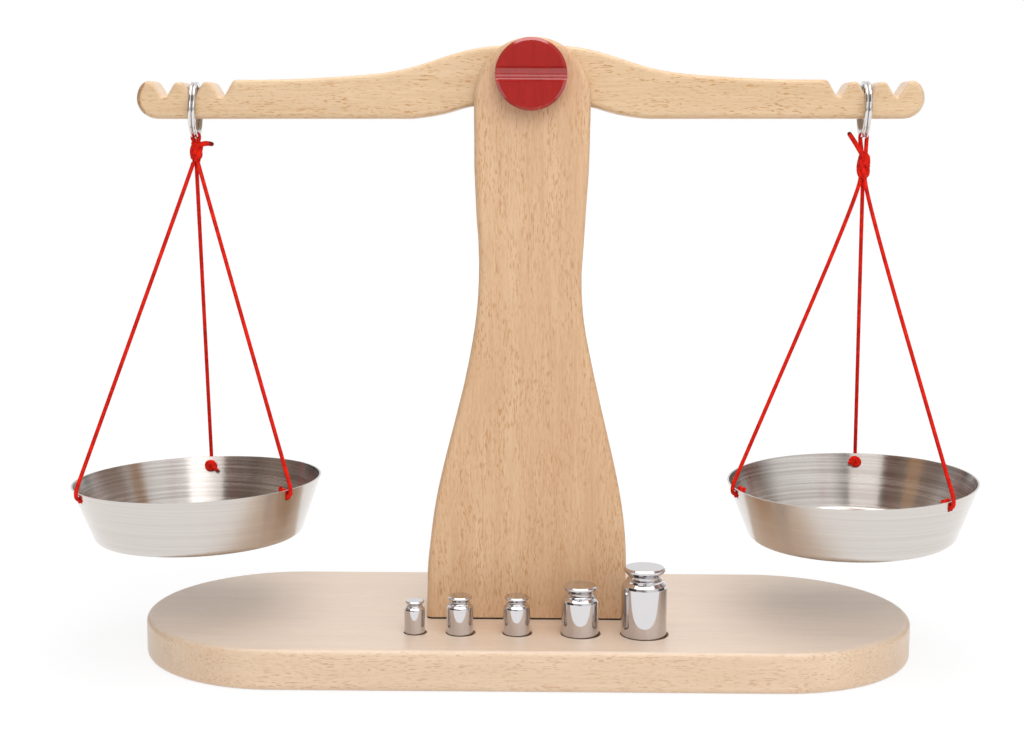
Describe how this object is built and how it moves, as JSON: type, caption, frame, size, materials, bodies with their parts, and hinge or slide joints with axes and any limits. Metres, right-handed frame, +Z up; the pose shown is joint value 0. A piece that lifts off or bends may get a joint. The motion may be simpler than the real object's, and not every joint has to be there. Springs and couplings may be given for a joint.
{
  "type": "balance scale",
  "caption": "Wooden beam balance on a post and long base, with steel pans hung on red cords from notched arm ends and chromed knob weights in the base.",
  "frame": {"origin": "centre of the base board's underside", "axes": "+X along the beam to the right seen from the front, -Y to the front, +Z up"},
  "size_m": [0.4533, 0.144, 0.304],
  "materials": {
    "beech_pale": "fine sanded, matt",
    "beech_oiled": "oiled, satin",
    "stained_red": "stained and waxed, satin",
    "red_cord": "waxed cord",
    "nickel_wire": "polished",
    "brushed_pan_steel": "brushed round the axis",
    "mirror_chrome": "mirror polished",
    "brass": "machined",
    "plain_steel": "bright zinc"
  },
  "bodies": {
    "stand": {"base_board": "beech_pale", "upright": "beech_oiled", "foot_dowels": "beech_pale", "foot_screws": "plain_steel"},
    "beam": {"beam": "beech_oiled", "beam_bush": "brass", "beam_washers": "plain_steel"},
    "pivot_bolt": {"pivot_axle": "plain_steel", "front_knob": "stained_red", "rear_knob": "stained_red"},
    "left_ring": {"left_ring": "nickel_wire"},
    "left_hanger": {"left_cord_loop": "red_cord", "left_top_knot": "red_cord", "left_cord_tail": "red_cord"},
    "left_pan": {"left_pan": "brushed_pan_steel", "left_strand_back": "red_cord", "left_stopper_back": "red_cord", "left_strand_left": "red_cord", "left_stopper_left": "red_cord", "left_strand_right": "red_cord", "left_stopper_right": "red_cord"},
    "right_ring": {"right_ring": "nickel_wire"},
    "right_hanger": {"right_cord_loop": "red_cord", "right_top_knot": "red_cord", "right_cord_tail": "red_cord"},
    "right_pan": {"right_pan": "brushed_pan_steel", "right_strand_back": "red_cord", "right_stopper_back": "red_cord", "right_strand_left": "red_cord", "right_stopper_left": "red_cord", "right_strand_right": "red_cord", "right_stopper_right": "red_cord"},
    "weight_10g": {"weight_10g": "mirror_chrome"},
    "weight_20g_a": {"weight_20g_a": "mirror_chrome"},
    "weight_20g_b": {"weight_20g_b": "mirror_chrome"},
    "weight_50g": {"weight_50g": "mirror_chrome"},
    "weight_100g": {"weight_100g": "mirror_chrome"}
  },
  "joints": [
    {"name": "beam_tilt", "type": "hinge", "parent": "stand", "child": "beam", "pos_m": [0, 0, 0.287], "axis": [0, 1, 0], "range_deg": [-10, 10]},
    {"name": "knob_turn", "type": "hinge", "parent": "stand", "child": "pivot_bolt", "pos_m": [0, 0, 0.287], "axis": [0, 1, 0], "continuous": true},
    {"name": "left_ring_turn", "type": "hinge", "parent": "beam", "child": "left_ring", "pos_m": [-0.163, 0, 0.27698], "axis": [0, 1, 0], "range_deg": [-10, 10]},
    {"name": "left_pan_swing", "type": "hinge", "parent": "left_ring", "child": "left_hanger", "pos_m": [-0.163, 0, 0.27087], "axis": [1, 0, 0], "range_deg": [-8, 8]},
    {"name": "left_pan_sway", "type": "hinge", "parent": "left_hanger", "child": "left_pan", "pos_m": [-0.163, 0, 0.24524], "axis": [0, 1, 0], "range_deg": [-6, 6]},
    {"name": "right_ring_turn", "type": "hinge", "parent": "beam", "child": "right_ring", "pos_m": [0.163, 0, 0.27698], "axis": [0, 1, 0], "range_deg": [-10, 10]},
    {"name": "right_pan_swing", "type": "hinge", "parent": "right_ring", "child": "right_hanger", "pos_m": [0.163, 0, 0.27087], "axis": [1, 0, 0], "range_deg": [-8, 8]},
    {"name": "right_pan_sway", "type": "hinge", "parent": "right_hanger", "child": "right_pan", "pos_m": [0.163, 0, 0.23884], "axis": [0, 1, 0], "range_deg": [-6, 6]},
    {"name": "weight_10g_lift", "type": "slide", "parent": "stand", "child": "weight_10g", "axis": [0, 0, 1], "range_m": [0, 0.045]},
    {"name": "weight_20g_a_lift", "type": "slide", "parent": "stand", "child": "weight_20g_a", "axis": [0, 0, 1], "range_m": [0, 0.045]},
    {"name": "weight_20g_b_lift", "type": "slide", "parent": "stand", "child": "weight_20g_b", "axis": [0, 0, 1], "range_m": [0, 0.045]},
    {"name": "weight_50g_lift", "type": "slide", "parent": "stand", "child": "weight_50g", "axis": [0, 0, 1], "range_m": [0, 0.045]},
    {"name": "weight_100g_lift", "type": "slide", "parent": "stand", "child": "weight_100g", "axis": [0, 0, 1], "range_m": [0, 0.045]}
  ],
  "couplings": [
    {"joint": "left_ring_turn", "follows": "beam_tilt", "ratio": -1},
    {"joint": "right_ring_turn", "follows": "beam_tilt", "ratio": -1}
  ]
}
